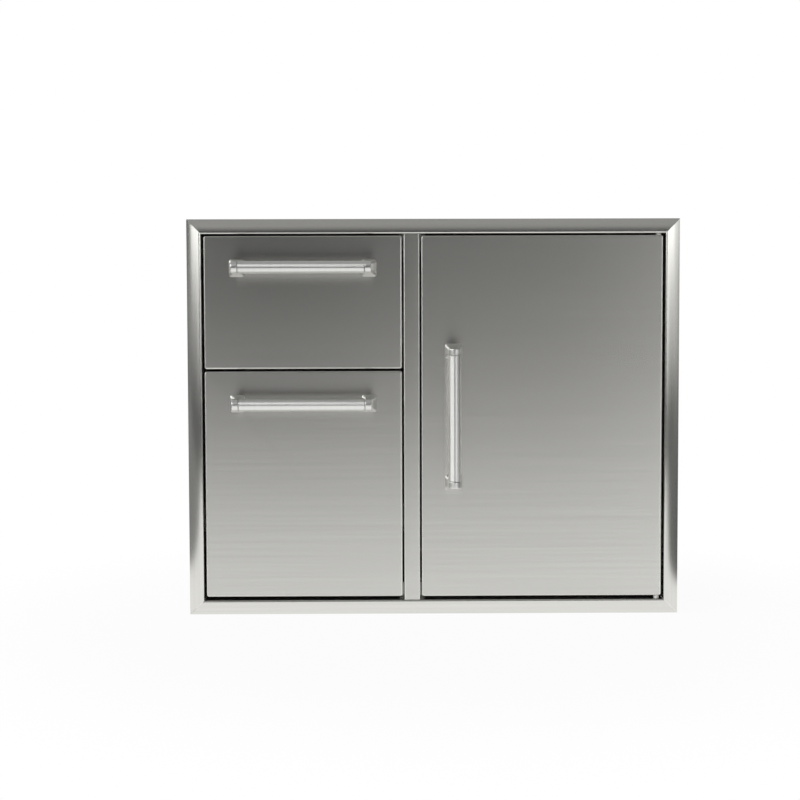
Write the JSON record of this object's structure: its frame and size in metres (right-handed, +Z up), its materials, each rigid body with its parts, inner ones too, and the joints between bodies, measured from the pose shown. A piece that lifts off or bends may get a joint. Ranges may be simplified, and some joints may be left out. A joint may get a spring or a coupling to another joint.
{
  "type": "outdoor kitchen cabinet",
  "caption": "Drop-in stainless steel outdoor kitchen cabinet: mitred face frame, small and tall drawers on ball-bearing slides at left, pivot-hinged door at right, tubular bar handles.",
  "frame": {"origin": "middle of the lower edge of the wall cut-out, on the wall's face: the face frame's flange rests on y = 0 and the carcass stands on z = 0", "axes": "+X to the right as seen from the front, +Y back into the wall, +Z up"},
  "size_m": [0.7874, 0.5705, 0.635],
  "materials": {
    "frame_trim": "satin stainless steel, grain along each length",
    "brushed_front": "brushed stainless steel, grain across",
    "inner_liner": "mill finish stainless steel",
    "carcass_sheet": "mill finish stainless steel",
    "drawer_tub": "mill finish stainless steel",
    "handle_tube": "satin polished stainless steel",
    "handle_casting": "satin polished cast stainless steel",
    "hinge_steel": "bright steel",
    "rail_steel": "bright zinc plated steel",
    "cage_steel": "bright steel with hardened balls",
    "white_nylon": "natural nylon",
    "catch_black": "black moulded plastic round a magnet"
  },
  "bodies": {
    "cabinet": {"bottom_trim": "frame_trim", "top_trim": "frame_trim", "left_trim": "frame_trim", "right_trim": "frame_trim", "centre_mullion": "brushed_front", "mullion_foot_bracket": "carcass_sheet", "mullion_head_bracket": "carcass_sheet", "left_side_panel": "carcass_sheet", "right_side_panel": "carcass_sheet", "base_panel": "carcass_sheet", "top_panel": "carcass_sheet", "back_panel": "carcass_sheet", "centre_partition": "carcass_sheet", "magnetic_catch": "catch_black", "door_buffer": "white_nylon", "lower_hinge_pin": "hinge_steel", "upper_hinge_pin": "hinge_steel", "upper_drawer_left_cabinet_rail": "rail_steel", "upper_drawer_right_cabinet_rail": "rail_steel", "lower_drawer_left_cabinet_rail": "rail_steel", "lower_drawer_right_cabinet_rail": "rail_steel"},
    "door": {"door_outer_panel": "brushed_front", "door_inner_liner": "inner_liner", "door_handle_bar": "handle_tube", "door_handle_lower_post": "handle_casting", "door_handle_upper_post": "handle_casting", "lower_hinge_bush": "white_nylon", "upper_hinge_bush": "white_nylon", "door_strike_plate": "hinge_steel"},
    "upper_drawer": {"upper_drawer_outer_panel": "brushed_front", "upper_drawer_inner_liner": "inner_liner", "upper_drawer_tub": "drawer_tub", "upper_drawer_back": "drawer_tub", "upper_drawer_handle_bar": "handle_tube", "upper_drawer_handle_left_post": "handle_casting", "upper_drawer_handle_right_post": "handle_casting", "upper_drawer_left_drawer_rail": "rail_steel", "upper_drawer_right_drawer_rail": "rail_steel"},
    "upper_drawer_middle_rails": {"upper_drawer_left_middle_rail": "rail_steel", "upper_drawer_right_middle_rail": "rail_steel"},
    "upper_drawer_outer_cages": {"upper_drawer_left_outer_ball_cage": "cage_steel", "upper_drawer_right_outer_ball_cage": "cage_steel"},
    "upper_drawer_inner_cages": {"upper_drawer_left_inner_ball_cage": "cage_steel", "upper_drawer_right_inner_ball_cage": "cage_steel"},
    "lower_drawer": {"lower_drawer_outer_panel": "brushed_front", "lower_drawer_inner_liner": "inner_liner", "lower_drawer_tub": "drawer_tub", "lower_drawer_back": "drawer_tub", "lower_drawer_handle_bar": "handle_tube", "lower_drawer_handle_left_post": "handle_casting", "lower_drawer_handle_right_post": "handle_casting", "lower_drawer_left_drawer_rail": "rail_steel", "lower_drawer_right_drawer_rail": "rail_steel"},
    "lower_drawer_middle_rails": {"lower_drawer_left_middle_rail": "rail_steel", "lower_drawer_right_middle_rail": "rail_steel"},
    "lower_drawer_outer_cages": {"lower_drawer_left_outer_ball_cage": "cage_steel", "lower_drawer_right_outer_ball_cage": "cage_steel"},
    "lower_drawer_inner_cages": {"lower_drawer_left_inner_ball_cage": "cage_steel", "lower_drawer_right_inner_ball_cage": "cage_steel"}
  },
  "joints": [
    {"name": "door_hinge", "type": "hinge", "parent": "cabinet", "child": "door", "pos_m": [0.3592, -0.003, 0.2962], "axis": [0, 0, 1], "range_deg": [0, 105]},
    {"name": "upper_drawer_slide", "type": "slide", "parent": "cabinet", "child": "upper_drawer", "axis": [0, -1, 0], "range_m": [0, 0.43]},
    {"name": "upper_drawer_middle_rails_slide", "type": "slide", "parent": "cabinet", "child": "upper_drawer_middle_rails", "axis": [0, -1, 0], "range_m": [0, 0.215]},
    {"name": "upper_drawer_outer_cages_slide", "type": "slide", "parent": "cabinet", "child": "upper_drawer_outer_cages", "axis": [0, -1, 0], "range_m": [0, 0.1075]},
    {"name": "upper_drawer_inner_cages_slide", "type": "slide", "parent": "cabinet", "child": "upper_drawer_inner_cages", "axis": [0, -1, 0], "range_m": [0, 0.3225]},
    {"name": "lower_drawer_slide", "type": "slide", "parent": "cabinet", "child": "lower_drawer", "axis": [0, -1, 0], "range_m": [0, 0.43]},
    {"name": "lower_drawer_middle_rails_slide", "type": "slide", "parent": "cabinet", "child": "lower_drawer_middle_rails", "axis": [0, -1, 0], "range_m": [0, 0.215]},
    {"name": "lower_drawer_outer_cages_slide", "type": "slide", "parent": "cabinet", "child": "lower_drawer_outer_cages", "axis": [0, -1, 0], "range_m": [0, 0.1075]},
    {"name": "lower_drawer_inner_cages_slide", "type": "slide", "parent": "cabinet", "child": "lower_drawer_inner_cages", "axis": [0, -1, 0], "range_m": [0, 0.3225]}
  ],
  "couplings": [
    {"joint": "upper_drawer_middle_rails_slide", "follows": "upper_drawer_slide", "ratio": 0.5},
    {"joint": "upper_drawer_outer_cages_slide", "follows": "upper_drawer_slide", "ratio": 0.25},
    {"joint": "upper_drawer_inner_cages_slide", "follows": "upper_drawer_slide", "ratio": 0.75},
    {"joint": "lower_drawer_middle_rails_slide", "follows": "lower_drawer_slide", "ratio": 0.5},
    {"joint": "lower_drawer_outer_cages_slide", "follows": "lower_drawer_slide", "ratio": 0.25},
    {"joint": "lower_drawer_inner_cages_slide", "follows": "lower_drawer_slide", "ratio": 0.75}
  ]
}
